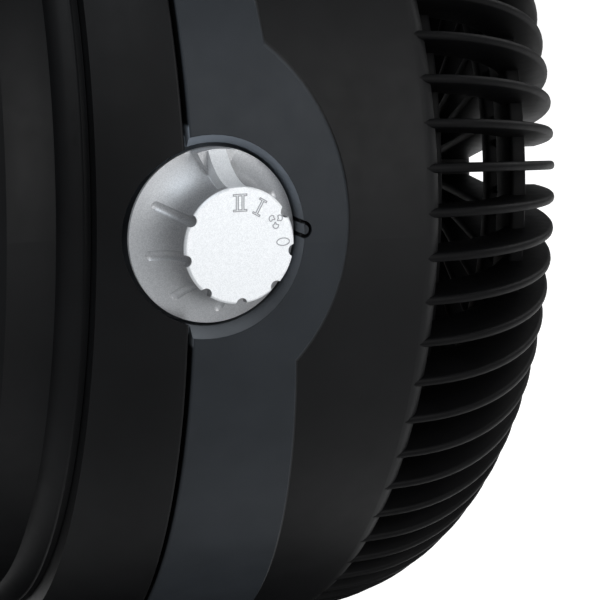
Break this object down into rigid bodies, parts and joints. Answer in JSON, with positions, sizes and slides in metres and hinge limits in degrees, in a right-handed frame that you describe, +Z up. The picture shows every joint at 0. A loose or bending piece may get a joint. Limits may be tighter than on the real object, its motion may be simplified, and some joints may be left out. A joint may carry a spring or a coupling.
{
  "type": "fan heater",
  "caption": "Round black fan heater with a finned rear cage, rounded outlet ring, side control knob in a well and a low round foot on a tilt hinge.",
  "frame": {"origin": "middle of the foot pad's resting face, under the tilt hinge", "axes": "+Z up, the air outlet faces -Y, the control knob is on the +X side"},
  "size_m": [0.2573, 0.192, 0.2823],
  "materials": {
    "housing_plastic": "satin black",
    "grille_plastic": "satin black",
    "knob_silver": "satin silver paint",
    "dark_plastic": "matt black",
    "pale_plastic": "natural nylon",
    "zinc_steel": "zinc plated",
    "core_steel": "laminated steel",
    "coil_copper": "enamelled wire under tape",
    "mica": "pressed mica",
    "ribbon_metal": "resistance ribbon",
    "sensor_metal": "drawn can",
    "pad_rubber": "matt"
  },
  "bodies": {
    "base": {"foot_shell": "housing_plastic", "foot_weight": "zinc_steel", "foot_plate": "zinc_steel", "foot_pad": "pad_rubber", "foot_screws": "zinc_steel", "hinge_bolt": "zinc_steel", "hinge_nut": "zinc_steel", "friction_washers": "pad_rubber"},
    "heater": {"rear_shell": "housing_plastic", "front_housing": "housing_plastic", "front_bezel": "housing_plastic", "front_grille": "grille_plastic", "rear_grille": "grille_plastic", "grille_screws": "zinc_steel", "heater_duct": "zinc_steel", "mica_upright": "mica", "mica_level": "mica", "ribbon_outer": "ribbon_metal", "ribbon_inner": "ribbon_metal", "thermal_cutout": "sensor_metal", "thermal_fuse": "sensor_metal", "motor_bracket": "dark_plastic", "stator_core": "core_steel", "stator_coil": "coil_copper", "bearing_bracket_front": "zinc_steel", "bearing_bracket_rear": "zinc_steel", "motor_spacers": "zinc_steel", "motor_screws": "zinc_steel", "terminal_block": "pale_plastic", "tip_over_switch": "dark_plastic", "rotary_switch": "dark_plastic", "switch_nut": "zinc_steel", "cord_gland": "dark_plastic", "housing_screws": "zinc_steel", "tilt_lug": "housing_plastic", "lug_screws": "zinc_steel"},
    "knob": {"control_knob": "knob_silver", "switch_shaft": "zinc_steel"},
    "fan": {"motor_shaft": "zinc_steel", "rotor": "core_steel", "fan_impeller": "dark_plastic", "fan_clip": "zinc_steel"}
  },
  "joints": [
    {"name": "body_tilt", "type": "hinge", "parent": "base", "child": "heater", "pos_m": [0, 0, 0.025], "axis": [-1, 0, 0], "range_deg": [-10, 20]},
    {"name": "knob_turn", "type": "hinge", "parent": "heater", "child": "knob", "pos_m": [0.1174, -0.0212, 0.162], "axis": [-0.9962, -0.0872, 0], "range_deg": [0, 88.5]},
    {"name": "fan_spin", "type": "hinge", "parent": "heater", "child": "fan", "pos_m": [0, -0.027, 0.16], "axis": [0, 1, 0], "continuous": true}
  ]
}
